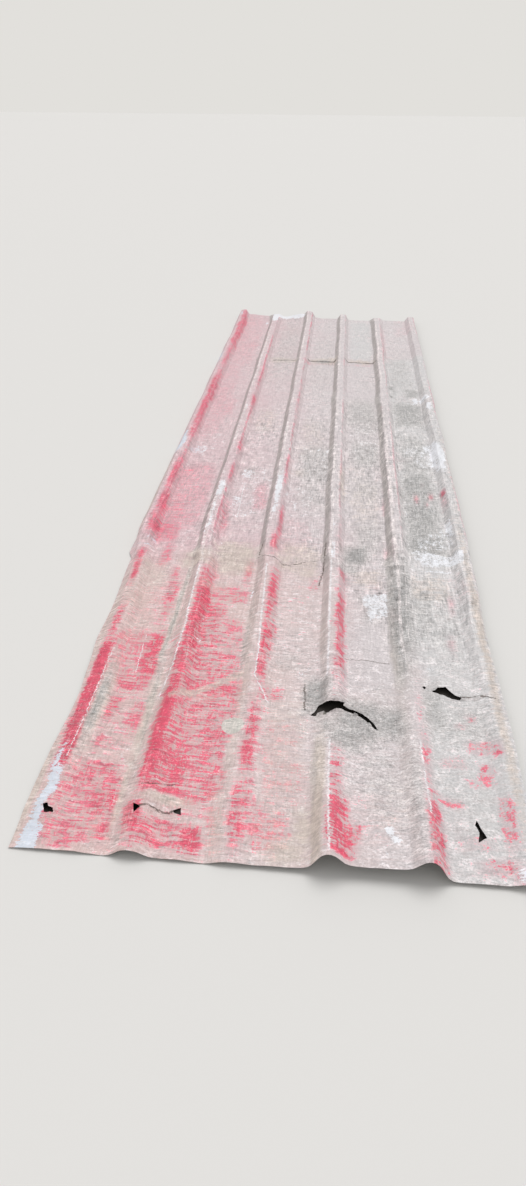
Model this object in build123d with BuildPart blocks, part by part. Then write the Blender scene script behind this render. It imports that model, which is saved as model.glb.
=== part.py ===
from build123d import *
import math
import os

# A used roofing sheet of painted steel, roll-formed in one piece with trapezoidal ribs.
# It lies as it would on a level floor: X across the ribs, Y along them, Z up.
# The origin is the centre of the floor area under the sheet. All sizes are in millimetres.

# Rolled section
rib_count = 6
rib_pitch = 200.0
rib_height = 27.0
crown_width = 28.0
slope_run = 20.0
sheet_thickness = 0.5
bend_radius = 3.0
lip_length = 10.0

# Cut length
sheet_length = 4000.0

# Wear of the sheet, station by station from the near end. "at" is the share of the length.
# "ribs" is how much of each rib's height is left, from the full edge rib to the open one.
# "pans" is how far each pan is lifted off the floor, and "inward" how far each long edge has moved in.
flat_pans = (0.0, 0.0, 0.0, 0.0, 0.0)
whole_ribs = (1.0, 1.0, 1.0, 1.0, 1.0, 1.0)
stations = [
    {"at": 0.0, "ribs": (0.12, 0.75, 0.12, 1.0, 0.95, 0.4), "pans": (0.0, 0.0, 8.0, 28.0, 4.0), "inward": (50, 8)},
    {"at": 0.028, "ribs": (0.3, 0.6, 0.15, 1.0, 0.9, 0.5), "pans": (0.0, 0.0, 4.0, 14.0, 2.0), "inward": (46, 10)},
    {"at": 0.07, "ribs": (0.45, 0.7, 0.25, 0.4, 0.7, 0.6), "pans": flat_pans, "inward": (46, 8)},
    {"at": 0.1125, "ribs": (0.45, 0.85, 0.35, 0.25, 0.6, 0.65), "pans": flat_pans, "inward": (52, 7)},
    {"at": 0.117, "ribs": (0.45, 0.85, 0.38, 1.0, 0.55, 0.65), "pans": flat_pans, "inward": (52, 7)},
    {"at": 0.14, "ribs": (0.5, 0.85, 0.55, 1.0, 0.35, 0.6), "pans": flat_pans, "inward": (48, 8)},
    {"at": 0.175, "ribs": (0.6, 0.8, 0.7, 1.0, 0.35, 0.8), "pans": flat_pans, "inward": (36, 12)},
    {"at": 0.2725, "ribs": (0.9, 0.9, 0.85, 1.0, 0.55, 0.9), "pans": flat_pans, "inward": (24, 4)},
    {"at": 0.285, "ribs": (0.7, 0.6, 0.6, 0.75, 0.45, 0.7), "pans": (5.0, 6.0, 6.0, 5.0, 4.0), "inward": (14, 5)},
    {"at": 0.2975, "ribs": whole_ribs, "pans": flat_pans, "inward": (8, 3)},
    {"at": 0.33, "ribs": whole_ribs, "pans": flat_pans, "inward": (0, 0)},
    {"at": 0.615, "ribs": whole_ribs, "pans": flat_pans, "inward": (0, 0)},
    {"at": 0.645, "ribs": (1.0, 1.0, 1.0, 0.7, 0.6, 1.0), "pans": flat_pans, "inward": (0, 0)},
    {"at": 0.675, "ribs": whole_ribs, "pans": flat_pans, "inward": (0, 0)},
    {"at": 0.78, "ribs": whole_ribs, "pans": flat_pans, "inward": (0, 0)},
    {"at": 0.7875, "ribs": (1.0, 0.85, 0.85, 0.9, 0.85, 1.0), "pans": (3.0, 4.0, 4.0, 3.0, 2.0), "inward": (0, 0)},
    {"at": 0.795, "ribs": whole_ribs, "pans": flat_pans, "inward": (0, 0)},
    {"at": 0.965, "ribs": whole_ribs, "pans": flat_pans, "inward": (0, 0)},
    {"at": 1.0, "ribs": (1.0, 0.5, 1.0, 1.0, 0.6, 1.0), "pans": (10.0, 8.0, 6.0, 0.0, 2.0), "inward": (0, 0)},
]

# Holes torn through the sheet. "rib" and "at" give the place: the rib's centre line, and the share of
# the length from the near end. The outline's points are offsets from there, across and along.
tears = [
    {
        "rib": 3,
        "at": 0.115,
        "outline": [
            (-26, -62), (-20, -28), (-4, 0), (14, 6), (36, 4), (65, 2), (90, -13), (106, -32), (117, -47),
            (101, -42), (80, -14), (62, -8), (42, -3), (12, -4), (-8, -24),
        ],
    },
    {
        "rib": 4,
        "at": 0.139,
        "outline": [(53, -4), (66, 11), (87, 9), (103, -4), (123, -17), (95, -8), (75, -3)],
    },
    {"rib": 4, "at": 0.139, "outline": [(28, 6), (33, 10), (38, 10), (35, 5)]},
    {"rib": 1, "at": 0.031, "outline": [(19, 5), (31, -2), (24, -12)]},
    {"rib": 1, "at": 0.031, "outline": [(103, 5), (116, 9), (117, -5), (98, -1)]},
    {"rib": 0, "at": 0.0255, "outline": [(37, 10), (56, 6), (58, -7), (43, -9)]},
    {"rib": 4, "at": 0.03, "outline": [(106, 31), (100, 17), (108, -11), (104, -22), (120, -7), (110, 9)]},
]

# Worked out from the sizes above
slope_length = math.hypot(slope_run, rib_height)
crown_half = crown_width / 2
cover_half = (rib_count - 1) * rib_pitch / 2
left_edge = -cover_half - crown_half - slope_run
lip_share = lip_length / slope_length
right_edge = cover_half + crown_half + slope_run * lip_share
overall_width = right_edge - left_edge
middle_offset = (left_edge + right_edge) / 2
cut_reach = 4 * rib_height


# The underside of one cross section, from the full edge rib's outer foot to the open rib's lip.
# A flattened rib spreads, because the metal in its slopes keeps its length.
def underside_points(station):
    points = []
    for rib in range(rib_count):
        centre = rib * rib_pitch - cover_half
        height = rib_height * station["ribs"][rib]
        run = math.sqrt(slope_length**2 - height**2)
        left_pan = station["pans"][max(rib - 1, 0)] if rib else 0.0
        right_pan = station["pans"][min(rib, rib_count - 2)]
        crown = max(left_pan, right_pan) + height
        points.append((centre - crown_half - run, left_pan))
        points.append((centre - crown_half, crown))
        points.append((centre + crown_half, crown))
        if rib < rib_count - 1:
            points.append((centre + crown_half + run, right_pan))
        else:
            points.append((centre + crown_half + run * lip_share, crown - height * lip_share))
    left_in, right_in = station["inward"]
    moved = []
    for x, z in points:
        across = (x - left_edge) / overall_width
        shift = left_in * (1 - across) - right_in * across
        moved.append((x + shift - middle_offset, z))
    return moved


with BuildPart() as profiled_sheet:
    for station in stations:
        distance = (station["at"] - 0.5) * sheet_length
        with BuildSketch(Plane.XZ.offset(-distance)):
            with BuildLine():
                underside = FilletPolyline(*underside_points(station), radius=bend_radius)
                offset(amount=sheet_thickness, side=Side.LEFT, kind=Kind.INTERSECTION)
            make_face()
    loft(ruled=True)
    for tear in tears:
        across = tear["rib"] * rib_pitch - cover_half - middle_offset
        along = (tear["at"] - 0.5) * sheet_length
        with BuildSketch():
            with Locations((across, along)):
                Polygon(*tear["outline"], align=None)
        extrude(amount=cut_reach, both=True, mode=Mode.SUBTRACT)

profiled_sheet.part.label = "profiled_sheet"
os.makedirs("parts", exist_ok=True)
export_step(profiled_sheet.part, "parts/profiled_sheet.step")
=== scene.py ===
import math

import bmesh
import bpy
import numpy as np
from mathutils import Matrix, Vector, noise


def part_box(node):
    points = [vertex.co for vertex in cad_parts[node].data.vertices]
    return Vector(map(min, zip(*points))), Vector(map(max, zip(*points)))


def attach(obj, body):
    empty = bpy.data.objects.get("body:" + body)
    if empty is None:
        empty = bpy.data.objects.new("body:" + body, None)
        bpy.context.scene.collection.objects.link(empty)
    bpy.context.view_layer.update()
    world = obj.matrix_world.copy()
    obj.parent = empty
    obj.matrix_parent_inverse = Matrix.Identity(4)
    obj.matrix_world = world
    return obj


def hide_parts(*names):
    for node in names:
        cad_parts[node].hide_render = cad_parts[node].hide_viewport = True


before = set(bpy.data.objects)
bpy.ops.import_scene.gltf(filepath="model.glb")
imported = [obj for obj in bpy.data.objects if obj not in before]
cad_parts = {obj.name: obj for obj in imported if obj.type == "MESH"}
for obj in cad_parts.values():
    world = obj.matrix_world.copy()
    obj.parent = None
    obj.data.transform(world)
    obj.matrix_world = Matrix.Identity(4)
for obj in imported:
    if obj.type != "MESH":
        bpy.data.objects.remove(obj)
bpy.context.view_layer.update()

# Worn roofing sheet: rolled ribs, trampled end, torn holes, chalky red paint. Metres throughout.
bpy.context.scene.view_settings.view_transform = "Standard"

rolledSheet = {
    "node": "profiled_sheet",
    "ribs": 6,
    "pitch": 0.200,
    "ribHeight": 0.027,
    "crown": 0.028,
    "slopeRun": 0.020,
    "bend": 0.0015,  # how far each bend is cut back from its corner
    "lip": 0.010,
    "thickness": 0.0005,
    "sway": 0.005,  # how far a rib wanders from its line
    "swayPace": 4,  # how quickly it wanders
    "swaySpread": 5,  # how little the ribs wander alike
    "panColumns": 16,
    "slopeColumns": 3,
    "rowsNear": 0.009,
    "rowsFar": 0.021,
    "nearZone": 0.33,  # share of the length that gets the closer rows
}
slack = 1e-4  # for telling on which side of a line a point lies

# The wear, station by station: share of the length from the near end, what is left of each rib's
# height, how far each pan stands off the floor, and how far the two long edges have moved in (mm)
wholeRibs = (1, 1, 1, 1, 1, 1)
flatPans = (0, 0, 0, 0, 0)
trampled = [
    (0, (0.12, 0.75, 0.12, 1, 0.95, 0.4), (0, 0, 8, 28, 4), (50, 8)),
    (0.028, (0.3, 0.6, 0.15, 1, 0.9, 0.5), (0, 0, 4, 14, 2), (46, 10)),
    (0.07, (0.45, 0.7, 0.25, 0.4, 0.7, 0.6), flatPans, (46, 8)),
    (0.1125, (0.45, 0.85, 0.35, 0.25, 0.6, 0.65), flatPans, (52, 7)),
    (0.117, (0.45, 0.85, 0.38, 1, 0.55, 0.65), flatPans, (52, 7)),
    (0.14, (0.5, 0.85, 0.55, 1, 0.35, 0.6), flatPans, (48, 8)),
    (0.175, (0.6, 0.8, 0.7, 1, 0.35, 0.8), flatPans, (36, 12)),
    (0.2725, (0.9, 0.9, 0.85, 1, 0.55, 0.9), flatPans, (24, 4)),
    (0.285, (0.7, 0.6, 0.6, 0.75, 0.45, 0.7), (5, 6, 6, 5, 4), (14, 5)),
    (0.2975, wholeRibs, flatPans, (8, 3)),
    (0.33, wholeRibs, flatPans, (0, 0)),
    (0.615, wholeRibs, flatPans, (0, 0)),
    (0.645, (1, 1, 1, 0.7, 0.6, 1), flatPans, (0, 0)),
    (0.675, wholeRibs, flatPans, (0, 0)),
    (0.78, wholeRibs, flatPans, (0, 0)),
    (0.7875, (1, 0.85, 0.85, 0.9, 0.85, 1), (3, 4, 4, 3, 2), (0, 0)),
    (0.795, wholeRibs, flatPans, (0, 0)),
    (0.965, wholeRibs, flatPans, (0, 0)),
    (1, (1, 0.5, 1, 1, 0.6, 1), (10, 8, 6, 0, 2), (0, 0)),
]

lowCorner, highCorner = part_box(rolledSheet["node"])
nearEnd, farEnd = lowCorner.y, highCorner.y
sheetLength = farEnd - nearEnd
coverHalf = (rolledSheet["ribs"] - 1) * rolledSheet["pitch"] / 2
crownHalf = rolledSheet["crown"] / 2
slopeLength = math.hypot(rolledSheet["slopeRun"], rolledSheet["ribHeight"])
lipShare = rolledSheet["lip"] / slopeLength
leftEdge = -coverHalf - crownHalf - rolledSheet["slopeRun"]
rightEdge = coverHalf + crownHalf + rolledSheet["slopeRun"] * lipShare
middleOffset = (leftEdge + rightEdge) / 2


# The bend points of one cross section, left to right, as two rows of numbers: across and up
def bendPoints(heights, pans, inward):
    across, up = [], []
    for rib in range(rolledSheet["ribs"]):
        centre = rib * rolledSheet["pitch"] - coverHalf
        height = rolledSheet["ribHeight"] * heights[rib]
        run = math.sqrt(slopeLength**2 - height**2)
        leftPan = pans[rib - 1] / 1000 if rib else 0.0
        rightPan = pans[min(rib, len(pans) - 1)] / 1000
        crown = max(leftPan, rightPan) + height
        across += [centre - crownHalf - run, centre - crownHalf, centre + crownHalf]
        up += [leftPan, crown, crown]
        if rib < rolledSheet["ribs"] - 1:
            across.append(centre + crownHalf + run)
            up.append(rightPan)
        else:
            across.append(centre + crownHalf + run * lipShare)
            up.append(crown - height * lipShare)
    across, up = np.array(across), np.array(up)
    share = (across - leftEdge) / (rightEdge - leftEdge)
    across = across + inward[0] / 1000 * (1 - share) - inward[1] / 1000 * share - middleOffset
    return across, up


rolledAcross, rolledUp = bendPoints(wholeRibs, flatPans, (0, 0))
stationPlaces = np.array([nearEnd + station[0] * sheetLength for station in trampled])
stationAcross, stationUp = (np.array(rows) for rows in zip(*(bendPoints(*station[1:]) for station in trampled)))


def chooseOnly(piece):
    bpy.ops.object.select_all(action="DESELECT")
    bpy.context.view_layer.objects.active = piece
    piece.select_set(True)


def openForEditing(piece, mode="EDGE"):
    chooseOnly(piece)
    bpy.ops.object.mode_set(mode="EDIT")
    bpy.ops.mesh.select_mode(type=mode)


def chooseEdges(piece, test):
    bpy.ops.mesh.select_all(action="DESELECT")
    cage = bmesh.from_edit_mesh(piece.data)
    for edge in cage.edges:
        edge.select_set(test(*(corner.co for corner in edge.verts)))
    cage.select_flush_mode()
    bmesh.update_edit_mesh(piece.data)


def readPoints(piece):
    points = np.empty(len(piece.data.vertices) * 3, np.float32)
    piece.data.vertices.foreach_get("co", points)
    return points.reshape(-1, 3).astype(float)


def writePoints(piece, points):
    piece.data.vertices.foreach_set("co", points.astype(np.float32).ravel())
    piece.data.update()


# One strip across the rolls: a plane for the first slope, then its edge extruded from bend to bend
def rollStrip(length):
    bpy.ops.mesh.primitive_plane_add(size=1)
    strip = bpy.context.object
    openForEditing(strip)
    firstRun = rolledAcross[1] - rolledAcross[0]
    bpy.ops.transform.resize(value=(firstRun, length, 1))
    bpy.ops.transform.translate(value=(rolledAcross[0] + firstRun / 2, nearEnd + length / 2, 0))
    chooseEdges(strip, lambda a, b: min(a.x, b.x) > rolledAcross[1] - slack)
    bpy.ops.transform.translate(value=(0, 0, rolledUp[1]))
    for place in range(2, len(rolledAcross)):
        step = (rolledAcross[place] - rolledAcross[place - 1], 0, rolledUp[place] - rolledUp[place - 1])
        bpy.ops.mesh.extrude_region_move(TRANSFORM_OT_translate={"value": step})
    low, high = rolledAcross[0] + slack, rolledAcross[-1] - slack
    chooseEdges(strip, lambda a, b: abs(a.x - b.x) < slack and low < a.x < high)
    bpy.ops.mesh.bevel(offset=rolledSheet["bend"], segments=2, affect="EDGES")
    wideEdge, narrowEdge = rolledSheet["pitch"] / 2, rolledSheet["slopeRun"] / 2
    chooseEdges(strip, lambda a, b: abs(a.x - b.x) > wideEdge)
    bpy.ops.mesh.subdivide(number_cuts=rolledSheet["panColumns"] - 1)
    chooseEdges(strip, lambda a, b: narrowEdge < abs(a.x - b.x) < wideEdge)
    bpy.ops.mesh.subdivide(number_cuts=rolledSheet["slopeColumns"] - 1)
    return strip


# The strip runs on from station to station, and each bay is then cut into rows
def rollSheet():
    bays = np.diff(stationPlaces)
    sheet = rollStrip(float(bays[0]))
    farSide = nearEnd + bays[0] - slack
    chooseEdges(sheet, lambda a, b: a.y > farSide and b.y > farSide)
    for bay in bays[1:]:
        bpy.ops.mesh.extrude_region_move(TRANSFORM_OT_translate={"value": (0, float(bay), 0)})
    nearZone = nearEnd + rolledSheet["nearZone"] * sheetLength
    for start, bay in zip(stationPlaces[:-1], bays):
        rowStep = rolledSheet["rowsNear"] if start < nearZone - slack else rolledSheet["rowsFar"]
        rows = max(round(bay / rowStep), 1)
        if rows > 1:
            low, high, least = start - slack, start + bay + slack, bay - slack
            chooseEdges(sheet, lambda a, b: abs(a.y - b.y) > least and min(a.y, b.y) > low and max(a.y, b.y) < high)
            bpy.ops.mesh.subdivide(number_cuts=rows - 1)
    bpy.ops.mesh.select_all(action="SELECT")
    bpy.ops.mesh.normals_make_consistent(inside=False)
    bpy.ops.object.mode_set(mode="OBJECT")
    if sheet.data.polygons[0].normal.z < 0:
        sheet.data.flip_normals()
    return sheet


# Where the bends of the trampled sheet run, one row of them for each place along it
def bendsAt(along):
    bay = np.clip(np.searchsorted(stationPlaces, along) - 1, 0, len(trampled) - 2)
    share = np.clip((along - stationPlaces[bay]) / np.diff(stationPlaces)[bay], 0, 1)
    share = (share**2 * (3 - 2 * share))[:, None]
    across, up = ((1 - share) * table[bay] + share * table[bay + 1] for table in (stationAcross, stationUp))
    ribs, pace, spread = rolledSheet["ribs"], rolledSheet["swayPace"], rolledSheet["swaySpread"]
    sway = np.array([[noise.noise((rib * spread, y * pace, 1)) for rib in range(ribs)] for y in along])
    ribOfBend = np.round((rolledAcross + middleOffset + coverHalf) / rolledSheet["pitch"]).clip(0, ribs - 1).astype(int)
    return across + sway[:, ribOfBend] * rolledSheet["sway"], up


def placeBetween(values, bends):
    bay = np.clip((bends <= values[:, None]).sum(1) - 1, 0, bends.shape[1] - 2)
    each = np.arange(len(values))
    return bay, (values - bends[each, bay]) / (bends[each, bay + 1] - bends[each, bay])


def trample(sheet):
    points = readPoints(sheet)
    rounding = points[:, 2] - np.interp(points[:, 0], rolledAcross, rolledUp)
    across, up = bendsAt(points[:, 1])
    bay, share = placeBetween(points[:, 0], np.tile(rolledAcross, (len(points), 1)))
    each = np.arange(len(points))
    points[:, 0] = across[each, bay] * (1 - share) + across[each, bay + 1] * share
    points[:, 2] = up[each, bay] * (1 - share) + up[each, bay + 1] * share + rounding
    writePoints(sheet, points)


# Where each point was across the sheet before it was trampled
def rolledPlace(points):
    across, _ = bendsAt(points[:, 1])
    bay, share = placeBetween(points[:, 0], across)
    return rolledAcross[bay] * (1 - share) + rolledAcross[bay + 1] * share


print("rolling the sheet")
sheet = rollSheet()
sheet.name = "roofing_sheet"
print("rolled:", len(sheet.data.vertices), "points")
trample(sheet)
print("trampled")

# Dents and swells made by feet, stones and folds: across, along, half width, half length, height (mm)
dents = [
    (-380, -1700, 60, 120, 5), (-190, -1750, 60, 160, 4), (-225, -1850, 56, 30, 8), (-240, -1885, 70, 60, 5),
    (20, -1600, 60, 200, 5), (-450, -1898, 50, 60, 7), (235, -1900, 55, 90, 6), (410, -1880, 60, 80, 10),
    (410, -1650, 60, 160, 7), (395, -1432, 75, 60, 13), (180, -1540, 85, 90, 12), (200, -1300, 60, 140, 4),
    (-190, -1250, 60, 160, 4), (0, -1050, 60, 120, 3), (410, -1050, 60, 200, 5), (-400, -900, 60, 100, 4),
    (210, -700, 60, 200, 3), (0, -350, 60, 160, 3), (-390, -100, 60, 300, 3), (410, -300, 60, 250, 4),
    (210, 300, 60, 250, 3), (400, 600, 60, 250, 4), (-190, 900, 60, 300, 3), (20, 1400, 60, 250, 3),
    (-390, 1500, 60, 250, 3), (210, 1750, 60, 150, 3), (-60, -1985, 90, 60, -3), (-450, -1250, 40, 120, 5),
]

# Sharp folds: from, to, height and half width (mm)
folds = [
    ((-262, -1462), (-125, -1040), 3.5, 16), ((-427, -1370), (-412, -1700), 3.5, 14),
    ((-70, -1390), (-25, -1500), 3.5, 14), ((-25, -1500), (50, -1512), 3, 14),
    ((52, -1440), (62, -1565), 4, 13), ((-120, -1180), (-260, -1300), 2, 14),
    ((-470, -1180), (-330, -1260), 2.5, 16), ((160, -1640), (300, -1720), 2.5, 16),
    ((380, -1600), (350, -1960), 3, 16), ((-200, -1990), (-150, -1900), 3, 14),
    ((-520, -885), (-300, -870), 2.5, 14), ((-300, -895), (-20, -880), 2.5, 14), ((-20, -880), (480, -905), 2.5, 14),
    ((60, -1010), (190, -930), 2, 14), ((470, -1240), (350, -1180), 2.5, 16), ((-500, 1150), (520, 1135), 1.5, 18),
    ((-430, -640), (-350, -720), 2, 14), ((300, -480), (470, -520), 2, 16), ((-60, -230), (70, -260), 1.5, 14),
]

# How far the cut ends stand up, across the sheet (mm): place and height, dying out over the reach
turnedEnds = {
    "far": {
        "reach": 150,
        "lift": [
            (-530, 4), (-485, 9), (-440, 10), (-380, 4), (-300, 0), (-230, 3), (-170, 17), (-140, 23), (-110, 15),
            (-70, 8), (-20, 0), (300, 0), (345, 2), (520, 0),
        ],
    },
    "near": {
        "reach": 110,
        "lift": [
            (-500, 0), (-440, 2), (-360, 5), (-310, 0), (-250, 0), (-210, 5), (-165, 6), (-110, 0), (-60, 0), (30, 1),
            (80, 3), (140, 0), (240, 0), (430, 3), (500, 2),
        ],
    },
}

# Ripples all over: pace across and along, seed, and share of the height
ripples = [((9, 6, 0), 1.0), ((28, 24, 7), 0.6)]
rippleHeight = {"nearEnd": 2.6, "rest": 1.5, "change": -800, "offset": 0.5}  # heights and place along it (mm)

# Softer bends: full up to the first place along the sheet, none beyond the second, and the reach (mm)
softerBends = [(2000, 2100, 3.5), (-1560, -1000, 13)]


def rippleAt(x, y):
    return sum(share * noise.noise((x * paceX, y * paceY, seed)) for (paceX, paceY, seed), share in ripples)


def segmentReach(points, start, end):
    start, end = np.array(start) / 1000, np.array(end) / 1000
    run = end - start
    share = np.clip((points[:, :2] - start) @ run / (run @ run), 0, 1)
    return np.hypot(*(points[:, :2] - start - share[:, None] * run).T), share


def dentSheet(sheet):
    points = readPoints(sheet)
    across, along = points[:, 0] * 1000, points[:, 1] * 1000
    rise = np.zeros(len(points))
    for x, y, width, length, height in dents:
        reach = ((across - x) / width) ** 2 + ((along - y) / length) ** 2
        rise += height * np.clip(1 - reach, 0, 1) ** 2
    for start, end, height, width in folds:
        away, share = segmentReach(points, start, end)
        rise += height * np.clip(1 - away * 1000 / width, 0, 1) * np.sin(np.pi * np.clip(share, 0.06, 0.94)) ** 0.5
    for name, edge in turnedEnds.items():
        away = (farEnd * 1000 - along) if name == "far" else (along - nearEnd * 1000)
        places, lifts = zip(*edge["lift"])
        rise += np.interp(across, places, lifts) * np.clip(1 - away / edge["reach"], 0, 1) ** 1.6
    rippled = np.array([rippleAt(x, y) for x, y, _ in points]) + rippleHeight["offset"]
    rise += rippled * np.where(along < rippleHeight["change"], rippleHeight["nearEnd"], rippleHeight["rest"])
    points[:, 2] = np.maximum(points[:, 2] + rise / 1000, 0)
    writePoints(sheet, points)


# Each row's heights are averaged over a reach across it
def softenBends(sheet, start, end, reach):
    points = readPoints(sheet)
    alongOrder = np.argsort(points[:, 1])
    breaks = np.flatnonzero(np.diff(points[alongOrder, 1]) > 0.001) + 1
    for row in np.split(alongOrder, breaks):
        row = row[np.argsort(points[row, 0])]
        share = np.clip((end - points[row[0], 1] * 1000) / (end - start), 0, 1)
        if share > 0:
            across, up = points[row, 0], points[row, 2]
            near = np.exp(-(((across[:, None] - across) / (reach * share / 1000)) ** 2)) * np.gradient(across)
            points[row, 2] = near @ up / near.sum(1)
    writePoints(sheet, points)


for start, end, reach in softerBends:
    softenBends(sheet, start, end, reach)
dentSheet(sheet)
print("dented")

# Tears: a place on the sheet, and the outline round it (mm)
tears = [
    {
        "place": (107, -1540),
        "outline": [
            (-36, -27), (-25, -10), (-18, 7), (-7, 6), (4, 4), (20, 2), (31, 3), (42, 7), (39, -2), (44, -4),
            (61, -10), (83, -23), (102, -39), (112, -49), (119, -62), (112, -60), (98, -45), (79, -29), (58, -17),
            (44, -13), (36, -8), (24, -6), (10, -9), (-5, -14), (-20, -19), (-24, -31),
        ],
    },
    {
        "place": (307, -1444),
        "outline": [
            (51, -11), (59, -10), (63, -4), (73, -3), (84, -2), (89, -9), (96, -17), (104, -24), (120, -29),
            (111, -31), (101, -30), (89, -27), (79, -22), (69, -20), (60, -15),
        ],
    },
    {"place": (307, -1444), "outline": [(28, 1), (34, 3), (39, -1), (33, -8)]},
    {"place": (-293, -1884), "outline": [(21, 4), (37, -7), (27, -21)]},
    {"place": (-293, -1884), "outline": [(99, 1), (116, 13), (119, -6)]},
    {"place": (-493, -1898), "outline": [(39, 1), (47, 4), (52, -4), (62, -6), (64, -16), (47, -19)]},
    {"place": (307, -1880), "outline": [(106, 27), (101, 13), (107, -4), (103, -28), (121, -15), (112, 5)]},
]

# Each side of an outline is cut into steps, and the places between its ends wander (mm)
fraying = {"steps": 3, "pace": 0.31, "seed": 5, "reach": 1.6}
cutSpan = (-0.05, 0.15)  # how far down and up the cutters go

# The lips of the tears: the line of the tear, how far its far side stands up and its near side is
# pressed down (mm), and the reach of both
tearLips = [
    {"line": [(70, -1590), (90, -1566), (111, -1546), (146, -1544)], "up": 4, "down": 6, "reach": 45},
    {"line": [(142, -1544), (168, -1558), (192, -1572), (210, -1590), (226, -1604)], "up": 3, "down": 2, "reach": 40},
    {"line": [(352, -1454), (375, -1456), (398, -1464), (425, -1474), (500, -1472)], "up": 4, "down": 4, "reach": 45},
    {"line": [(-274, -1892), (-225, -1886), (-172, -1884)], "up": 3, "down": 2, "reach": 30},
]


def frayedOutline(outline):
    corners = [Vector(corner) for corner in outline]
    steps, pace = fraying["steps"], fraying["pace"]
    frayed = []
    for place, corner in enumerate(corners):
        following = corners[(place + 1) % len(corners)]
        for step in range(steps):
            spot = corner.lerp(following, step / steps)
            shift = noise.noise_vector((spot.x * pace, spot.y * pace, fraying["seed"])).to_2d()
            frayed.append(spot + shift * fraying["reach"] if step else spot)
    return frayed


def tearOpen(sheet, tear):
    outline = frayedOutline(tear["outline"])
    bpy.ops.mesh.primitive_circle_add(vertices=len(outline), fill_type="NGON")
    cutter = bpy.context.object
    x, y = tear["place"]
    writePoints(cutter, np.array([((x + spot.x) / 1000, (y + spot.y) / 1000, cutSpan[0]) for spot in outline]))
    openForEditing(cutter, "FACE")
    bpy.ops.mesh.select_all(action="SELECT")
    bpy.ops.mesh.extrude_region_move(TRANSFORM_OT_translate={"value": (0, 0, cutSpan[1] - cutSpan[0])})
    bpy.ops.mesh.select_all(action="SELECT")
    bpy.ops.mesh.normals_make_consistent(inside=False)
    bpy.ops.object.mode_set(mode="OBJECT")
    finishWith(sheet, "BOOLEAN", {"operation": "DIFFERENCE", "solver": "EXACT", "object": cutter})
    bpy.data.objects.remove(cutter)


def finishWith(piece, kind, settings):
    chooseOnly(piece)
    modifier = piece.modifiers.new(kind.lower(), kind)
    for name, value in settings.items():
        setattr(modifier, name, value)
    bpy.ops.object.modifier_apply(modifier=modifier.name)


# The lips stand up on the far side of a tear and are pressed down on its near side, never through the floor
def curlLips(sheet):
    points = readPoints(sheet)
    for lip in tearLips:
        across, along = (np.array(column) / 1000 for column in zip(*lip["line"]))
        share = (points[:, 0] - across[0]) / (across[-1] - across[0])
        middle = np.sin(np.pi * np.clip(share, 0, 1)) ** 0.6
        away = (points[:, 1] - np.interp(points[:, 0], across, along)) * 1000 / lip["reach"]
        points[:, 2] += lip["up"] / 1000 * middle * np.where(away > 0, np.clip(1 - away, 0, 1) ** 2, 0)
        points[:, 2] -= lip["down"] / 1000 * middle * np.where(away < 0, np.clip(1 + away, 0, 1) ** 2, 0)
    outward = np.array([corner.normal.z > 0 for corner in sheet.data.vertices])
    points[:, 2] = np.maximum(points[:, 2], outward * rolledSheet["thickness"])
    writePoints(sheet, points)


# The faces along the cuts become triangles, so that none of them is folded back on another
def splitCutFaces(sheet):
    openForEditing(sheet, "FACE")
    bpy.ops.mesh.select_all(action="DESELECT")
    bpy.ops.mesh.select_face_by_sides(number=4, type="GREATER")
    bpy.ops.mesh.quads_convert_to_tris(ngon_method="BEAUTY")
    bpy.ops.object.mode_set(mode="OBJECT")


crispAngle = math.radians(32)  # bends sharper than this stay crisp
for coat in ("worn_red_paint", "backing_coat"):
    sheet.data.materials.append(bpy.data.materials.new(coat))
finishWith(sheet, "SOLIDIFY", {"thickness": rolledSheet["thickness"], "offset": 1, "material_offset": 1})
for tear in tears:
    tearOpen(sheet, tear)
curlLips(sheet)
splitCutFaces(sheet)
bpy.ops.object.shade_smooth_by_angle(angle=crispAngle)
print("torn:", len(sheet.data.polygons), "faces")

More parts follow.
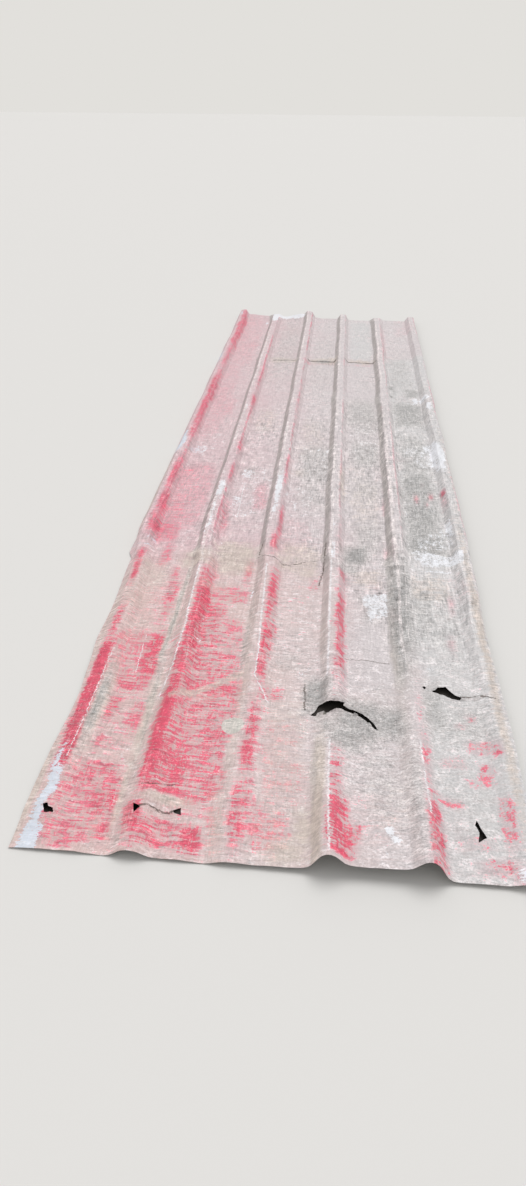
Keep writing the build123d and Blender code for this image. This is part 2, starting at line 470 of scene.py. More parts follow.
# Where the coats are kept, rubbed off or covered: across, along, half width, half length (mm), strength
redPatches = [
    # left edge rib
    (-455, -1700, 15, 90, 1.2), (-458, -1560, 17, 150, 1.2), (-460, -1400, 15, 60, 1.1), (-463, -1245, 12, 90, 0.59),
    (-468, -1010, 11, 70, 0.72), (-474, -917, 14, 45, 0.68), (-474, -700, 24, 90, 0.54), (-481, -540, 16, 100, 0.64),
    (-482, -330, 14, 160, 0.64), (-483, 80, 16, 50, 0.51), (-483, 390, 16, 80, 0.81), (-483, 500, 18, 430, 0.61),
    (-482, 1150, 14, 240, 0.5), (-480, 1560, 16, 60, 0.72), (-480, 1660, 20, 450, 0.56),
    # first pan
    (-385, -1950, 44, 34, 0.46), (-318, -1940, 18, 40, 0.51), (-380, -1870, 76, 116, 0.41),
    (-348, -1868, 26, 40, 0.56), (-320, -1860, 18, 50, 0.59), (-330, -1825, 14, 24, 0.56),
    (-370, -1790, 56, 30, 0.46), (-392, -1702, 9, 34, 0.51), (-380, -1650, 60, 90, 0.24), (-333, -1600, 22, 65, 0.45),
    (-390, -1585, 16, 50, 0.61), (-365, -1475, 45, 50, 0.46), (-400, -1400, 60, 130, 0.42),
    (-338, -1370, 27, 105, 0.64), (-352, -1180, 14, 60, 0.42), (-400, -1150, 50, 90, 0.2),
    (-349, -1085, 22, 70, 0.52), (-357, -975, 12, 40, 0.51), (-405, -870, 20, 70, 0.42), (-430, -720, 40, 90, 0.45),
    (-430, -560, 40, 140, 0.37), (-400, -430, 66, 260, 0.32), (-405, 450, 50, 110, 0.25), (-430, 600, 45, 500, 0.2),
    (-410, 1500, 60, 500, 0.19),
    # second rib and pan
    (-150, -1950, 24, 38, 0.72), (-215, -1945, 62, 44, 0.5), (-270, -1912, 18, 36, 0.85), (-165, -1870, 60, 30, 0.31),
    (-150, -1800, 52, 56, 0.5), (-225, -1780, 44, 60, 0.61), (-190, -1700, 84, 100, 0.5), (-261, -1640, 20, 215, 0.8),
    (-140, -1580, 34, 56, 0.46), (-185, -1560, 90, 130, 0.5), (-150, -1490, 30, 30, 0.58), (-262, -1420, 16, 75, 0.8),
    (-190, -1420, 80, 60, 0.46), (-165, -1330, 44, 150, 0.4), (-215, -1290, 46, 170, 0.5),
    (-254, -1205, 22, 245, 0.76), (-188, -1075, 64, 40, 0.42), (-142, -950, 12, 62, 0.64), (-255, -920, 20, 30, 0.38),
    (-262, -620, 16, 120, 0.42), (-155, -437, 26, 98, 0.4), (-276, -285, 9, 90, 0.55), (-276, -40, 10, 60, 0.51),
    (-276, 470, 10, 120, 0.61), (-276, 800, 9, 170, 0.51),
    # third rib and pan
    (0, -1910, 44, 56, 0.44), (-108, -1900, 18, 60, 0.42), (-60, -1870, 20, 100, 0.56), (20, -1790, 50, 80, 0.32),
    (10, -1680, 50, 80, 0.26), (-60, -1655, 17, 130, 0.63), (-112, -1600, 16, 45, 0.51), (-28, -1490, 36, 26, 0.53),
    (-60, -1410, 15, 50, 0.72), (-58, -1296, 18, 90, 0.66), (-62, -1190, 10, 60, 0.68), (-60, -1078, 17, 105, 0.62),
    (58, -995, 14, 36, 0.42), (-75, -806, 12, 60, 0.68), (-20, -700, 50, 130, 0.19), (-70, -650, 10, 150, 0.59),
    (-76, -300, 9, 130, 0.51), (-76, 500, 9, 300, 0.34), (-70, 1110, 24, 22, 0.46), (20, 1118, 60, 14, 0.42),
    # fourth rib and pan
    (150, -1945, 34, 48, 0.64), (200, -1880, 60, 80, 0.19), (138, -1870, 22, 60, 0.6), (134, -1770, 16, 90, 0.62),
    (136, -1250, 18, 225, 0.59), (134, -1130, 15, 120, 0.64), (134, -960, 12, 30, 0.68), (128, -700, 10, 140, 0.34),
    (200, 1108, 60, 14, 0.44),
    # fifth rib and pan
    (440, -1965, 44, 24, 0.5), (410, -1908, 34, 18, 0.44), (330, -1900, 20, 100, 0.68), (370, -1808, 24, 16, 0.56),
    (340, -1790, 20, 16, 0.5), (440, -1743, 32, 12, 0.54), (454, -1702, 20, 32, 0.58), (326, -1700, 13, 120, 0.52),
    (385, -1690, 30, 20, 0.42), (446, -1640, 26, 22, 0.52), (412, -1570, 14, 10, 0.6), (440, -1540, 14, 14, 0.6),
    (326, -1520, 12, 100, 0.34), (426, -1260, 12, 44, 0.47), (280, -1140, 11, 35, 0.59), (443, -1078, 10, 40, 0.42),
    (280, -800, 12, 40, 0.51), (276, -500, 8, 60, 0.42), (424, -440, 8, 18, 0.75), (390, -400, 9, 34, 0.85),
    (440, -376, 9, 26, 0.85), (418, -290, 8, 20, 0.42), (285, 413, 8, 73, 0.51), (333, 1600, 12, 300, 0.26),
    (450, 1850, 60, 190, 0.14),
    # right edge
    (480, -1990, 14, 20, 0.6), (480, -1860, 20, 70, 0.54), (484, -1646, 14, 22, 0.64), (480, -420, 10, 60, 0.42),
    (482, -372, 9, 28, 0.8),
]
whitePatches = [
    (-456, -1970, 19, 45, 1.2), (-459, -1905, 12, 50, 1.2), (-455, -1830, 14, 46, 1.2), (-466, -1765, 7, 42, 1.2),
    (-480, -850, 30, 8, 0.8), (-470, -800, 20, 20, 0.6), (-510, -40, 18, 80, 1.2), (-514, 60, 12, 50, 1.1),
    (-518, 1150, 10, 110, 1.2), (-500, 1960, 10, 40, 0.9), (-432, -58, 28, 42, 0.72), (-400, 30, 60, 120, 0.38),
    (-358, 461, 14, 30, 0.6), (-340, 1872, 12, 26, 0.9), (-234, -1303, 7, 5, 1.2), (-296, -680, 9, 70, 0.95),
    (-297, -580, 8, 50, 0.9), (-200, -520, 60, 90, 0.5), (-238, -458, 22, 40, 0.75), (-297, -445, 12, 85, 1.15),
    (-180, -300, 60, 120, 0.45), (-218, -254, 26, 45, 0.75), (-292, 390, 9, 80, 0.6), (-292, 1930, 18, 75, 1.5),
    (-215, 1985, 92, 30, 1.6), (42, -1411, 6, 6, 1), (62, -1390, 10, 8, 0.8), (-25, -1338, 6, 4, 1.2),
    (-117, -1067, 6, 16, 1), (-96, -580, 9, 50, 0.95), (-30, -480, 60, 120, 0.45), (-95, -400, 11, 150, 1.2),
    (20, -100, 60, 200, 0.42), (233, -1965, 5, 5, 0.9), (250, -1928, 9, 10, 1.3), (240, -1908, 10, 14, 1.4),
    (236, -1095, 38, 78, 0.9), (232, -895, 16, 11, 0.7), (108, -820, 7, 60, 1), (108, -696, 6, 110, 0.75),
    (210, 100, 60, 200, 0.4), (362, -1364, 11, 11, 0.8), (420, -893, 80, 6, 1), (436, -830, 66, 50, 0.9),
    (380, -800, 30, 40, 0.75), (430, -700, 60, 60, 0.6), (455, -660, 8, 60, 0.8), (400, -480, 60, 60, 0.45),
    (445, -60, 40, 100, 0.6), (398, 20, 40, 60, 0.55), (420, 560, 40, 10, 0.7), (453, 604, 14, 36, 1.1),
    (430, 1700, 70, 260, 0.38), (482, -1985, 9, 18, 1.2), (480, -640, 10, 80, 1), (492, -63, 24, 132, 1.05),
    (470, 40, 30, 40, 0.9), (499, 473, 12, 50, 1.2), (490, 590, 20, 30, 1),
]
greyPatches = [
    # (-428, -1590) on the left edge rib's slope and (78, -1495) beside the fold left of the first tear carry painted
    # shade as well as dirt
    (-380, -1690, 50, 70, 0.32), (-428, -1590, 13, 150, 1), (-300, -1640, 7, 120, 0.62),
    (-307, -1480, 7, 130, 0.72), (-316, -1200, 7, 320, 0.85), (-215, -230, 40, 50, 0.55), (-210, 215, 45, 50, 0.5),
    (-190, 1400, 70, 640, 0.55), (20, -1850, 60, 40, 0.3), (10, -1370, 36, 50, 0.5), (-112, -1230, 8, 300, 0.55),
    (20, -420, 60, 120, 0.5), (30, -150, 66, 200, 0.72), (20, 200, 60, 120, 0.4), (20, 1148, 26, 12, 1.8),
    (10, 1150, 70, 560, 0.42), (230, -1800, 56, 110, 0.5), (200, -1710, 14, 16, 0.7), (240, -1705, 34, 28, 0.6),
    (150, -1640, 44, 34, 1.1), (110, -1600, 20, 40, 0.9), (180, -1580, 60, 80, 1.05), (250, -1580, 44, 60, 1.05),
    (78, -1495, 30, 60, 1.3), (250, -1480, 40, 40, 0.45), (232, -1100, 44, 80, 0.75), (160, -900, 40, 40, 0.8),
    (180, -815, 40, 62, 1.25), (210, -700, 50, 130, 0.6), (220, -320, 60, 140, 0.5), (220, -30, 66, 160, 0.74),
    (235, 330, 80, 190, 0.62), (210, 420, 70, 170, 0.8), (240, 900, 60, 260, 0.3), (420, -1820, 60, 100, 0.36),
    (300, -1790, 16, 170, 0.6), (425, -1560, 60, 80, 0.5), (360, -1520, 26, 90, 0.72), (292, -1290, 20, 170, 1),
    (415, -1200, 60, 150, 0.45), (360, -1130, 36, 140, 0.62), (300, -1120, 32, 250, 1.2), (300, -1100, 24, 140, 0.7),
    (400, -720, 66, 100, 0.9), (400, -540, 66, 190, 0.82), (400, -300, 66, 120, 0.85), (400, -100, 66, 120, 0.66),
    (400, 60, 66, 160, 0.6), (437, 88, 6, 10, 1.3), (410, 420, 70, 160, 0.78), (340, 650, 8, 22, 1.1),
    (440, 700, 50, 60, 0.7), (345, 780, 8, 22, 1.2), (360, 800, 14, 200, 0.55), (400, 1000, 66, 340, 0.42),
]
dustPatches = [
    (-488, -1860, 9, 160, 1.1), (-490, -1250, 12, 300, 0.7), (-520, -450, 9, 380, 0.9), (-340, -1940, 14, 60, 0.5),
    (-424, -1590, 20, 170, 1), (-412, -1250, 40, 120, 0.5), (-440, -1120, 50, 90, 0.6), (-420, -1000, 50, 110, 0.6),
    (-215, -1858, 60, 14, 0.95), (-305, -1850, 9, 140, 0.9), (-307, -1600, 12, 180, 1), (-195, -1530, 60, 20, 0.55),
    (-316, -1190, 8, 330, 1), (-230, -1040, 50, 30, 0.6), (-300, -900, 60, 60, 0.8), (-190, -870, 70, 110, 0.9),
    (-200, -650, 60, 140, 0.3), (-200, 300, 60, 160, 0.5), (-190, 1160, 90, 50, 0.75), (40, -1960, 50, 40, 0.85),
    (70, -1910, 30, 60, 0.9), (-100, -1900, 24, 100, 0.6), (20, -1700, 60, 260, 0.5), (-96, -1560, 15, 290, 0.55),
    (0, -870, 70, 110, 0.7), (-30, -220, 40, 50, 0.6), (0, 100, 60, 250, 0.45), (20, 1160, 80, 55, 0.8),
    # (99, -1825) on the third rib's left slope near the end carries painted shade as well as dust
    (240, -1850, 50, 120, 0.4), (99, -1825, 11, 180, 1.1), (210, -950, 60, 50, 0.6), (210, -450, 60, 200, 0.5),
    (130, -330, 14, 150, 0.7), (180, -200, 60, 200, 0.35), (205, 1165, 70, 45, 0.8), (390, -1000, 66, 90, 0.6),
    (505, -1300, 12, 700, 0.9), (520, -200, 12, 600, 0.5),
]
coatPatches = {"red": redPatches, "white": whitePatches, "grey": greyPatches, "dust": dustPatches}

# How softly the patches of a coat end (mm), and how their edges wander: pace across and along, seed,
# and reach (mm). Patches under a full size wander less, and all of them twice as far along the sheet
softness = {"red": 9, "white": 6, "grey": 30, "dust": 26}
edgeWander = [((14, 10, 2), 15), ((45, 45, 9), 7)]
fullSize = (30, 60)


def wanderAt(points, paces, reach):
    paceX, paceY, seed = paces
    return np.array([noise.noise_vector((x * paceX, y * paceY, seed)) for x, y, _ in points]) * reach


# The strongest of the patches at each point, each a box with round corners
def strewPatches(points, shifts, patches, softest):
    total = np.zeros(len(points))
    for x, y, width, length, strength in patches:
        shortSide = min(width, length)
        feather = min(softest, shortSide * 0.7)
        across = abs(points[:, 0] * 1000 + shifts[:, 0] * min(width / fullSize[0], 1) - x)
        along = abs(points[:, 1] * 1000 + shifts[:, 1] * 2 * min(length / fullSize[1], 1) - y)
        reach = ((across / width) ** 4 + (along / length) ** 4) ** 0.25
        total = np.maximum(total, strength * np.clip(0.5 + (1 - reach) * shortSide / (2 * feather), 0, 1))
    return total


points = readPoints(sheet)
shifts = sum(wanderAt(points, paces, reach) for paces, reach in edgeWander)
for coat, patches in coatPatches.items():
    store = sheet.data.attributes.new(coat, "FLOAT", "POINT")
    store.data.foreach_set("value", strewPatches(points, shifts, patches, softness[coat]).astype(np.float32))
store = sheet.data.attributes.new("rolled", "FLOAT_VECTOR", "POINT")
store.data.foreach_set("vector", np.column_stack((rolledPlace(points), points[:, 1:])).astype(np.float32).ravel())
print("coats placed:", ", ".join(coatPatches))


# One number that changes over a surface; + - * on it add Math nodes
class Tone:
    def __init__(self, finish, socket):
        self.finish, self.socket = finish, socket

    def __add__(self, other):
        return self.finish.reckon("ADD", self, other)

    def __sub__(self, other):
        return self.finish.reckon("SUBTRACT", self, other)

    def __rsub__(self, other):
        return self.finish.reckon("SUBTRACT", other, self)

    def __mul__(self, other):
        return self.finish.reckon("MULTIPLY", self, other)

    def __abs__(self):
        return self.finish.reckon("ABSOLUTE", self)

    __radd__ = __add__
    __rmul__ = __mul__


# A material's node tree: every node but the Math ones comes from put
class Finish:
    def __init__(self, material):
        material.use_nodes = True
        self.tree = material.node_tree
        self.tree.nodes.clear()
        self.place = self.put("ShaderNodeTexCoord", {}, {}).outputs["Object"]

    def put(self, kind, settings, inputs):
        node = self.tree.nodes.new(kind)
        for name, value in settings.items():
            setattr(node, name, value)
        for name, value in inputs.items():
            self.feed(node.inputs[name], value)
        return node

    def feed(self, socket, value):
        if isinstance(value, Tone):
            value = value.socket
        if isinstance(value, bpy.types.NodeSocket):
            self.tree.links.new(value, socket)
        else:
            socket.default_value = value

    def reckon(self, operation, *items):
        node = self.put("ShaderNodeMath", {"operation": operation}, {})
        for socket, item in zip(node.inputs, items):
            self.feed(socket, item)
        return Tone(self, node.outputs[0])

    # a cloudy pattern that swings about 0, up to a half either way
    def cloud(self, scale, detail=4.0, roughness=0.55, distortion=0.0):
        stretched = self.put("ShaderNodeVectorMath", {"operation": "MULTIPLY"}, {0: self.place, 1: scale})
        inputs = {"Vector": stretched.outputs[0], "Scale": 1.0, "Detail": detail}
        inputs.update({"Roughness": roughness, "Distortion": distortion})
        return Tone(self, self.put("ShaderNodeTexNoise", {}, inputs).outputs["Fac"]) - 0.5

    # 0 up to the low value, 1 from the high one
    def rise(self, tone, low, high):
        settings = {"interpolation_type": "SMOOTHSTEP", "clamp": True}
        inputs = {"Value": tone, "From Min": low, "From Max": high, "To Min": 0.0, "To Max": 1.0}
        return Tone(self, self.put("ShaderNodeMapRange", settings, inputs).outputs["Result"])

    def between(self, tone, low, high, feather):
        return self.rise(tone, low - feather, low + feather) * (1 - self.rise(tone, high - feather, high + feather))

    def area(self, x, y, across, along):
        return self.between(x, *across) * self.between(y, *along)

    # two colours, each from a socket or by its name in coatColours
    def blend(self, share, under, over):
        under, over = (coatColours[colour] if isinstance(colour, str) else colour for colour in (under, over))
        return self.put("ShaderNodeMix", {"data_type": "RGBA"}, {0: share, 6: under, 7: over}).outputs[2]

    def lighten(self, colour, tone):
        return self.put("ShaderNodeVectorMath", {"operation": "SCALE"}, {0: colour, 3: tone}).outputs[0]

    def parts(self, source):
        split = self.put("ShaderNodeSeparateXYZ", {}, {0: source})
        return [Tone(self, split.outputs[axis]) for axis in range(3)]

    def painted(self, name):
        return Tone(self, self.put("ShaderNodeAttribute", {"attribute_name": name}, {}).outputs["Fac"])

    # nearness to a line between two places given in mm: 1 on the line, 0 beyond its half width (mm)
    def stroke(self, x, y, *line):
        x1, y1, x2, y2, halfWidth = (measure / 1000 for measure in line)
        runX, runY = x2 - x1, y2 - y1
        share = ((x - x1) * runX + (y - y1) * runY) * (1 / (runX**2 + runY**2))
        share = self.reckon("MAXIMUM", share, 0.0)
        share = self.reckon("MINIMUM", share, 1.0)
        awayX, awayY = x - x1 - share * runX, y - y1 - share * runY
        away = self.reckon("SQRT", awayX * awayX + awayY * awayY)
        return 1 - self.rise(away, halfWidth / 2, halfWidth)

    def strokes(self, x, y, lines):
        nearest = self.stroke(x, y, *lines[0])
        for line in lines[1:]:
            nearest = self.reckon("MAXIMUM", nearest, self.stroke(x, y, *line))
        return nearest

    def bump(self, strength, height):
        inputs = {"Strength": strength, "Distance": 0.002, "Height": height}
        return self.put("ShaderNodeBump", {}, inputs).outputs["Normal"]

    def surface(self, inputs):
        shader = self.put("ShaderNodeBsdfPrincipled", {}, inputs)
        self.put("ShaderNodeOutputMaterial", {}, {"Surface": shader.outputs["BSDF"]})


def shade(red, green, blue):
    linear = [((c / 255 + 0.055) / 1.055) ** 2.4 if c > 10 else c / 255 / 12.92 for c in (red, green, blue)]
    return (*linear, 1.0)


coatColours = {
    "red": shade(220, 68, 99),
    "deepRed": shade(205, 54, 86),
    "fadedRed": shade(222, 129, 147),
    "pink": shade(219, 191, 195),
    "warmPink": shade(221, 194, 190),
    "paleGrey": shade(215, 207, 208),
    "neutralGrey": shade(213, 211, 211),
    "chalk": shade(238, 233, 235),
    "shadow": shade(178, 166, 163),
    "dust": shade(208, 195, 185),
    "dirt": shade(146, 145, 143),
    # the left rib slopes: dirt with painted shade
    "slopeDirtAndShade": shade(179, 173, 170),
    "white": shade(240, 241, 246),
    "coolWhite": shade(218, 226, 237),
    "splash": shade(205, 204, 196),
    "scuff": shade(236, 226, 224),
    # dark lines of cracks, and painted shade along folds
    "crackAndFoldShade": shade(92, 80, 72),
    "stain": shade(190, 186, 181),
    "backing": shade(150, 148, 143),
    "backingDirt": shade(112, 102, 90),
    "backingRust": shade(142, 96, 66),
}

# Cracks, and painted shade along folds, long pale scratches, and smears: across and along at each end, half width (mm)
cracksAndFoldShade = [
    (-257, -1888, -240, -1884, 3.4), (-240, -1884, -212, -1889, 3.4), (-212, -1889, -194, -1886, 3),
    (425, -1472, 461, -1463, 2.4), (461, -1463, 503, -1482, 2), (53, -1460, 57, -1550, 3),
    (-60, 1145, 75, 1143, 8), (125, 1150, 285, 1140, 6), (-240, 1142, -130, 1150, 4),
    (-120, -878, -20, -900, 1.6), (-10, -893, 60, -872, 1.6), (-112, -790, -118, -868, 2.2),
    (84, -770, 80, -930, 2.6), (80, -930, 70, -1005, 3), (-270, -1826, -200, -1812, 1.4),
    (140, -1345, 262, -1352, 1.4),
]
scratches = [
    (-222, -345, -219, -600, 2), (-72, -1349, -72, -1444, 2.6), (-72, -1444, -30, -1534, 2.4),
    (-375, -1290, -368, -1450, 1.3), (-330, -700, -240, -790, 1.8), (118, -1650, 117, -1764, 2.8),
    (117, -1764, 122, -1985, 2.8), (-442, -1372, -446, -1760, 1.4), (-286, -960, -283, -1161, 3.2),
    (-283, -1161, -276, -1253, 3), (-276, -1253, -280, -1429, 2.6), (-280, -1429, -291, -1534, 2.4),
    (-88, -930, -79, -1193, 3), (-79, -1193, -72, -1349, 3), (103, -900, 106, -1440, 3.2),
    (316, -1640, 322, -1860, 2.6),
]
smears = [
    (-111, -1433, -171, -1484, 15), (-171, -1484, -258, -1546, 13),
]
coatLines = {"smear": smears, "scratch": scratches, "crackAndFoldShade": cracksAndFoldShade}


# Bands beside each rib's middle line, areas, and the lines' colours and covers. A band is from, to and
# feather (m), an area is a band across and one along
sheetPaint = {
    "innerRibs": (-0.42, 0.41, 0.005),
    "leftSlope": (-0.033, -0.0165, 0.0045),
    "redLine": (0.012, 0.02, 0.0025),
    "crestTop": (-0.013, -0.004, 0.002),
    "crestEdge": (0.0105, 0.0125, 0.001),
    "coolFar": ((0.15, 0.27, 0.02), (1.2, 1.95, 0.06)),
    "coolNear": ((0.13, 0.28, 0.02), (-1.45, -1.15, 0.08)),
    "splashPlace": (-0.104, -1.618),
    "splashEdge": (0.025, 0.028),
    "lines": {"smear": ("dust", 0.7), "scratch": ("chalk", 0.9), "crackAndFoldShade": ("crackAndFoldShade", 0.85)},
}


def paintSheet(material):
    finish = Finish(material)
    cloud, rise, blend, between, area = finish.cloud, finish.rise, finish.blend, finish.between, finish.area
    redLeft, bare, dirty, dusty = (finish.painted(coat) for coat in ("red", "white", "grey", "dust"))
    rolled = finish.put("ShaderNodeAttribute", {"attribute_name": "rolled"}, {}).outputs["Vector"]
    rolledX, rolledY, _ = finish.parts(rolled)
    placeX, placeY, _ = finish.parts(finish.place)
    streaks = cloud((12, 130, 1), 5, 0.66, 0.5)
    blotches = cloud((42, 40, 1), 6, 0.68, 0.5)
    hatch = cloud((70, 480, 1), 3, 0.6)
    fine = cloud((170, 210, 1), 4, 0.7)
    lengthwise = cloud((300, 26, 1), 3, 0.6)
    wide = cloud((4.5, 2.6, 1), 3)
    dashes = cloud((80, 210, 1), 4, 0.7, 0.6)
    grain = cloud((300, 300, 60), 3, 0.6)
    trodden = 1 - rise(rolledY + rise(rolledX, 0.1, 0.25) * 0.4 + wide * 0.4, -1.15, -0.75)
    # dirt lies in long patches, and in short crosswise ones where the sheet was walked on
    longPatches, shortPatches = cloud((46, 17, 1), 6, 0.82, 0.3), cloud((36, 84, 1), 6, 0.82, 0.3)
    patina = longPatches + (shortPatches - longPatches) * trodden
    # brush marks run both ways, and more of them crosswise on the trodden end
    crossBrush, longBrush = cloud((30, 140, 1), 4, 0.7, 0.9), cloud((150, 22, 1), 4, 0.7, 0.3)
    brushed = (crossBrush + longBrush) * 0.6
    brushed = brushed + (crossBrush - brushed) * trodden * rise(wide + blotches, -0.1, 0.1) * 0.9
    # the coats' edges are broken up by streaks, and by crumbs on the trodden end's right side
    breakUp = streaks * 1.7 + blotches * 1.6 + hatch * 0.6 + lengthwise * 0.7
    breakUp = (breakUp + brushed * 1.6) * (trodden * 0.75 + 0.45)
    crumbs = blotches * 2.6 + fine * 1.8
    crumbled = (rise(rolledX, 0.1, 0.16) * 0.6 + rise(rolledX, 0.33, 0.37) * 0.4) * trodden
    breakUp = breakUp + (crumbs - breakUp) * crumbled
    # chalky ground, pinker towards the full edge rib and greyer in the last pan
    lastPan = rise(rolledX + wide * 0.1, 0.3, 0.345) * (1 - rise(rolledY + streaks * 0.1, 1.2, 1.26))
    coolFar, coolNear = (area(rolledX, rolledY, *sheetPaint[name]) for name in ("coolFar", "coolNear"))
    pinker = 1 - rise(rolledX + wide * 0.7 + rise(rolledY, -0.9, -0.5) * 0.2, -0.42, 0.4)
    colour = blend(finish.reckon("MAXIMUM", lastPan, coolFar), "paleGrey", "neutralGrey")
    pinkGround = blend(trodden, "pink", "warmPink")
    colour = blend(pinker + streaks * 0.8 + dashes * 0.5 - coolNear * 0.3, colour, pinkGround)
    colour = blend(rise(patina + dashes * 0.9 + blotches * 0.6, 0, 0.3) * 0.7, colour, "shadow")
    chalked = rise((fine + hatch) * 0.5 + blotches * 1.2, 0, 0.22)
    colour = blend(chalked * (trodden * 0.3 + 0.25), colour, "chalk")
    # red paint where the strokes kept it, washed out round them, a little everywhere near the full edge rib
    redKept = redLeft + pinker * 0.15
    wash = rise(redKept + wide + patina * 0.8 + streaks * 0.6, 0.02, 0.85)
    colour = blend(wash * (0.55 - trodden * 0.25), colour, "fadedRed")
    redMask = rise(redKept + breakUp, 0.44, 0.77)
    fresh = rise(redLeft + patina * 1.2, 0.15, 0.7) * (trodden * 0.35 + 0.65)
    redTone = blend(fresh, "fadedRed", "red")
    redTone = blend(rise(wide + blotches * 0.5, -0.02, 0.16) * 0.7, redTone, "deepRed")
    colour = blend(redMask * 0.92, colour, redTone)
    # dirt and painted shade on the left slope of each inner rib, less of both where the ribs are trodden flat
    halfPitch = rolledSheet["pitch"] / 2
    ribPhase = finish.reckon("WRAP", rolledX + (coverHalf + middleOffset), halfPitch, -halfPitch)
    innerRibs = between(rolledX, *sheetPaint["innerRibs"])
    dirtAndShadeOnSlopes = between(ribPhase + blotches * 0.016 + patina * 0.02, *sheetPaint["leftSlope"]) * innerRibs
    stillUp = between(rolledY, -1.4, -1.1, 0.1) * (rise(rolledX, -0.2, -0.18) + rise(rolledX, 0.2, 0.22)) * 0.5
    fourthRib = between(rolledX, 0, 0.12, 0.01) * (1 - rise(rolledY, -1.68, -1.62))
    flattened = trodden * (1 - stillUp) * (1 - fourthRib)
    colour = blend(dirtAndShadeOnSlopes * (0.86 - flattened * 0.66), colour, blend(trodden * 0.5, "slopeDirtAndShade", "dust"))
    # dust, stains and mottled dirt
    dustMask = rise(dusty + blotches + streaks * 0.9 + patina * 0.6, 0.25, 1)
    colour = blend(dustMask * 0.85, colour, "dust")
    colour = blend(rise(dirty + blotches * 0.8, 0.1, 0.95) * 0.5, colour, "stain")
    farOff = rise(rolledY, 0.3, 0.7)
    mottle = dashes * 1.4 + patina * 2 + streaks * 0.8
    dirtLeft = dirty + lastPan * (farOff * 0.4 + 0.12) - farOff * 0.25
    colour = blend(rise(dirtLeft + mottle, 0.6, 1.2) * (1 - redMask * 0.6) * 0.75, colour, "dirt")
    # crest lines rubbed pale, and chips down to the primer
    wornPhase = ribPhase + blotches * 0.012
    redLine = between(wornPhase, *sheetPaint["redLine"]) * rise(rolledY, -0.8, -0.65)
    redLine = redLine * rise(lengthwise + blotches * 0.8 + wide * 1.6, -0.1, 0.16)
    colour = blend(redLine * (0.8 - rise(rolledX, -0.1, 0.15) * 0.48), colour, "fadedRed")
    crest = between(wornPhase, *sheetPaint["crestTop"]) + between(wornPhase, *sheetPaint["crestEdge"]) * 0.7
    crest = crest * rise(lengthwise + blotches + wide, -0.14, 0.12) * (innerRibs * 0.8 + 0.2)
    colour = blend(crest * (1 - trodden * 0.8) * 0.8, colour, "scuff")
    flaked = blotches * 1.4 + (dashes + fine) * 1.6 + patina * 1.2
    whiteMask = rise(bare * 0.92 + flaked, 0.62, 0.8)
    whiteTone = blend(rise(rolledX, -0.46, -0.42), "coolWhite", "white")
    colour = blend(whiteMask * 0.95, colour, whiteTone)
    # one round splash, fine scratches, then the long ones, and the cracks with painted shade along folds
    splashX, splashY = placeX - sheetPaint["splashPlace"][0], placeY - sheetPaint["splashPlace"][1]
    splashAway = finish.reckon("SQRT", splashX * splashX + splashY * splashY) + blotches * 0.012
    colour = blend((1 - rise(splashAway, *sheetPaint["splashEdge"])) * 0.92, colour, "splash")
    scratch = 1 - rise(abs(cloud((7, 90, 1), 3, 0.5, 0.8)), 0.003, 0.013)
    upright = 1 - rise(abs(cloud((120, 9, 1), 2, 0.5, 0.6)), 0.003, 0.014)
    curly = 1 - rise(abs(cloud((34, 60, 1), 3, 0.6, 1.6)), 0.004, 0.016)
    scratched = (scratch + upright * 0.7 + curly * (trodden * 0.5 + 0.2)) * rise(wide + fine * 0.9, -0.14, 0.06)
    colour = blend(finish.reckon("MINIMUM", scratched * 0.5, 1), colour, "scuff")
    lineX, lineY = placeX + streaks * 0.016, placeY + blotches * 0.018
    lineMasks = {kind: finish.strokes(lineX, lineY, coatLines[kind]) for kind in sheetPaint["lines"]}
    for kind, (tint, cover) in sheetPaint["lines"].items():
        colour = blend(lineMasks[kind] * rise(fine + blotches, -0.2, 0) * cover, colour, tint)
    # flaking edges where dirt sits: a dark line with a pale one beside it
    flaking = rise(dirty + wide, 0.3, 0.8)
    flakeEdge = abs(cloud((44, 70, 1), 3, 0.62, 2.2))
    colour = blend((1 - rise(flakeEdge, 0.006, 0.028)) * flaking * 0.5, colour, "dirt")
    colour = blend(between(flakeEdge, 0.036, 0.056, 0.008) * flaking * 0.35, colour, "white")
    # light and dark flecks, fewer on the calm far part, and crumbs rather than brush marks on the right side
    calm = rise(rolledY - rise(rolledX, -0.35, -0.2) * 0.4, -0.3, 0.35)
    busy = rise(blotches + wide * 0.8 + dirty * 0.25, -0.16, 0.22) * 0.7 + 0.6
    busy = busy * (1.25 - calm * 0.55 - trodden * 0.2 + redMask * trodden * 0.2)
    worked = trodden * rise(rolledX, -0.05, 0.15)
    flecks = patina * 1.3 + brushed * (1.5 - worked * 0.8) + blotches * (worked * 0.3 + 0.6)
    flecks = flecks + fine * (worked * 0.7 + 0.5) + lengthwise * (0.4 - worked * 0.2)
    colour = finish.lighten(colour, flecks * busy * (1 - whiteMask * 0.6) + 1)
    height = grain * 0.3 + (streaks + blotches) * 0.6 + hatch * 0.25 - whiteMask * 0.3 - lineMasks["crackAndFoldShade"] * 1.2
    roughness = dustMask * 0.2 - redMask * 0.14 + blotches * 0.2 + 0.6
    inputs = {"Base Color": colour, "Roughness": roughness, "Specular IOR Level": 0.3}
    finish.surface({**inputs, "Normal": finish.bump(0.35, height)})


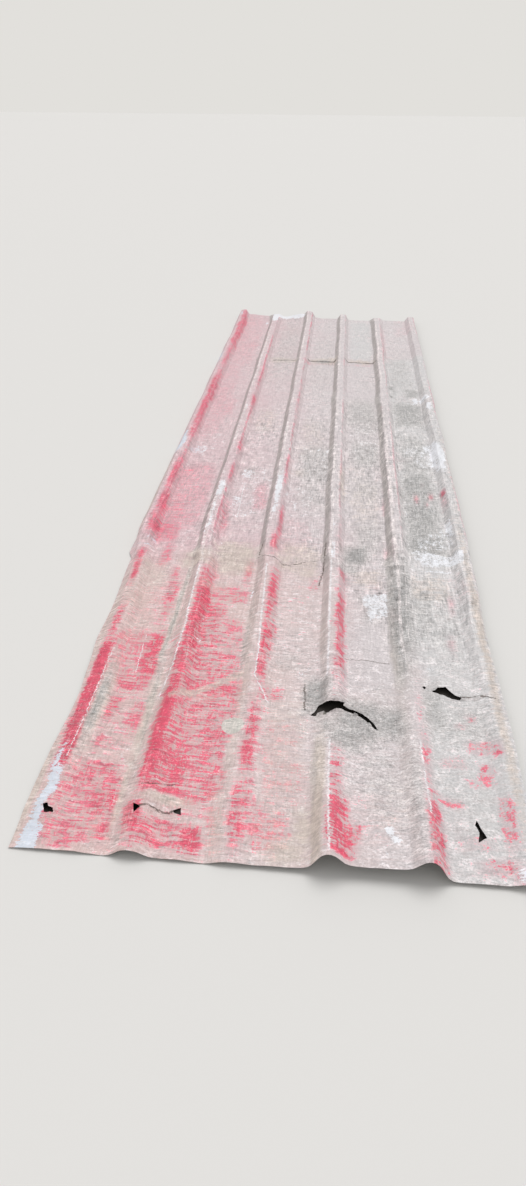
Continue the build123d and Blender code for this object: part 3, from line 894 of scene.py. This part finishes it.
def paintBacking(material):
    finish = Finish(material)
    blotches = finish.cloud((30, 30, 30), 6, 0.62)
    streaks = finish.cloud((11, 150, 1), 3)
    wide = finish.cloud((5, 3, 1), 3)
    soiled = finish.rise(blotches + streaks * 0.5 + wide * 0.8, -0.05, 0.22)
    rusted = finish.rise(blotches + wide * 1.2, 0.16, 0.26)
    colour = finish.blend(soiled * 0.7, "backing", "backingDirt")
    colour = finish.blend(rusted * 0.7, colour, "backingRust")
    normal = finish.bump(0.25, blotches + rusted * 0.4)
    finish.surface({"Base Color": colour, "Roughness": soiled * 0.25 + 0.55, "Normal": normal})


paintSheet(sheet.data.materials[0])
paintBacking(sheet.data.materials[1])
print("painted")

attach(sheet, "root")
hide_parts(rolledSheet["node"])

# Studio: pale floor with painted shade under the sheet, an even sky and one broad soft lamp from the right
studio = {
    "floorSize": 60.0,
    "floorColour": shade(228, 226, 223),
    "paintedShadeFloor": shade(52, 47, 43),  # painted shade under the sheet, seen only through its tears
    "paintedShadeArea": ((-0.466, 0.46, 0.008), (-1.94, 1.9, 0.012)),
    "floorDrop": 0.0002,
    "skyStrength": 0.6,
    "skySeen": shade(226, 224, 220),
    "lampStrength": 1.35,
    "lampSoftness": math.radians(40),
    "lampTurn": (math.radians(-24), math.radians(9), 0.0),
}


def buildStudio():
    bpy.ops.mesh.primitive_plane_add(size=studio["floorSize"])
    floor = bpy.context.object
    floor.name = "studio_floor"
    floor.location.z = -studio["floorDrop"]
    floor.data.materials.append(bpy.data.materials.new("studio_floor"))
    finish = Finish(floor.data.materials[0])
    x, y, _ = finish.parts(finish.place)
    # painted shade: the floor under the sheet is darkened, so the tears read dark
    covered = finish.area(x, y, *studio["paintedShadeArea"])
    colour = finish.blend(covered, studio["floorColour"], studio["paintedShadeFloor"])
    finish.surface({"Base Color": colour, "Roughness": 0.9})
    world = bpy.data.worlds.new("even_sky")
    world.use_nodes = True
    sky = Finish(world)
    lit = sky.put("ShaderNodeBackground", {}, {"Color": (1, 1, 1, 1), "Strength": studio["skyStrength"]})
    seen = sky.put("ShaderNodeBackground", {}, {"Color": studio["skySeen"], "Strength": 1.0})
    paths = sky.put("ShaderNodeLightPath", {}, {})
    inView = sky.reckon("MAXIMUM", Tone(sky, paths.outputs["Is Camera Ray"]), Tone(sky, paths.outputs["Is Glossy Ray"]))
    inView = sky.reckon("MAXIMUM", inView, Tone(sky, paths.outputs["Is Transmission Ray"]))
    mixed = sky.put("ShaderNodeMixShader", {}, {0: inView, 1: lit.outputs[0], 2: seen.outputs[0]})
    sky.put("ShaderNodeOutputWorld", {}, {"Surface": mixed.outputs[0]})
    bpy.context.scene.world = world
    bpy.ops.object.light_add(type="SUN", rotation=studio["lampTurn"])
    lamp = bpy.context.object
    lamp.data.energy = studio["lampStrength"]
    lamp.data.angle = studio["lampSoftness"]


buildStudio()

# Camera: looks down on the near end, turned, pitched down and rolled, in radians
viewpoint = {
    "place": (0.0878, -2.9715, 1.2525),
    "down": 0.57692,
    "turn": -0.09138,
    "roll": -0.00582,
    "focalPixels": 800.0,
    "imageHeight": 1186.0,
    "sensor": 36.0,
}


def placeCamera():
    down, turn, roll = viewpoint["down"], viewpoint["turn"], viewpoint["roll"]
    forward = Vector((math.sin(turn) * math.cos(down), math.cos(turn) * math.cos(down), -math.sin(down)))
    levelRight = Vector((math.cos(turn), -math.sin(turn), 0))
    levelDown = forward.cross(levelRight)
    right = levelRight * math.cos(roll) + levelDown * math.sin(roll)
    downward = levelDown * math.cos(roll) - levelRight * math.sin(roll)
    bpy.ops.object.camera_add()
    camera = bpy.context.object
    turned = Matrix((right, -downward, -forward)).transposed()
    camera.matrix_world = Matrix.Translation(viewpoint["place"]) @ turned.to_4x4()
    camera.data.sensor_width = viewpoint["sensor"]
    camera.data.lens = viewpoint["sensor"] * viewpoint["focalPixels"] / viewpoint["imageHeight"]
    bpy.context.scene.camera = camera


placeCamera()
print("studio and camera ready")
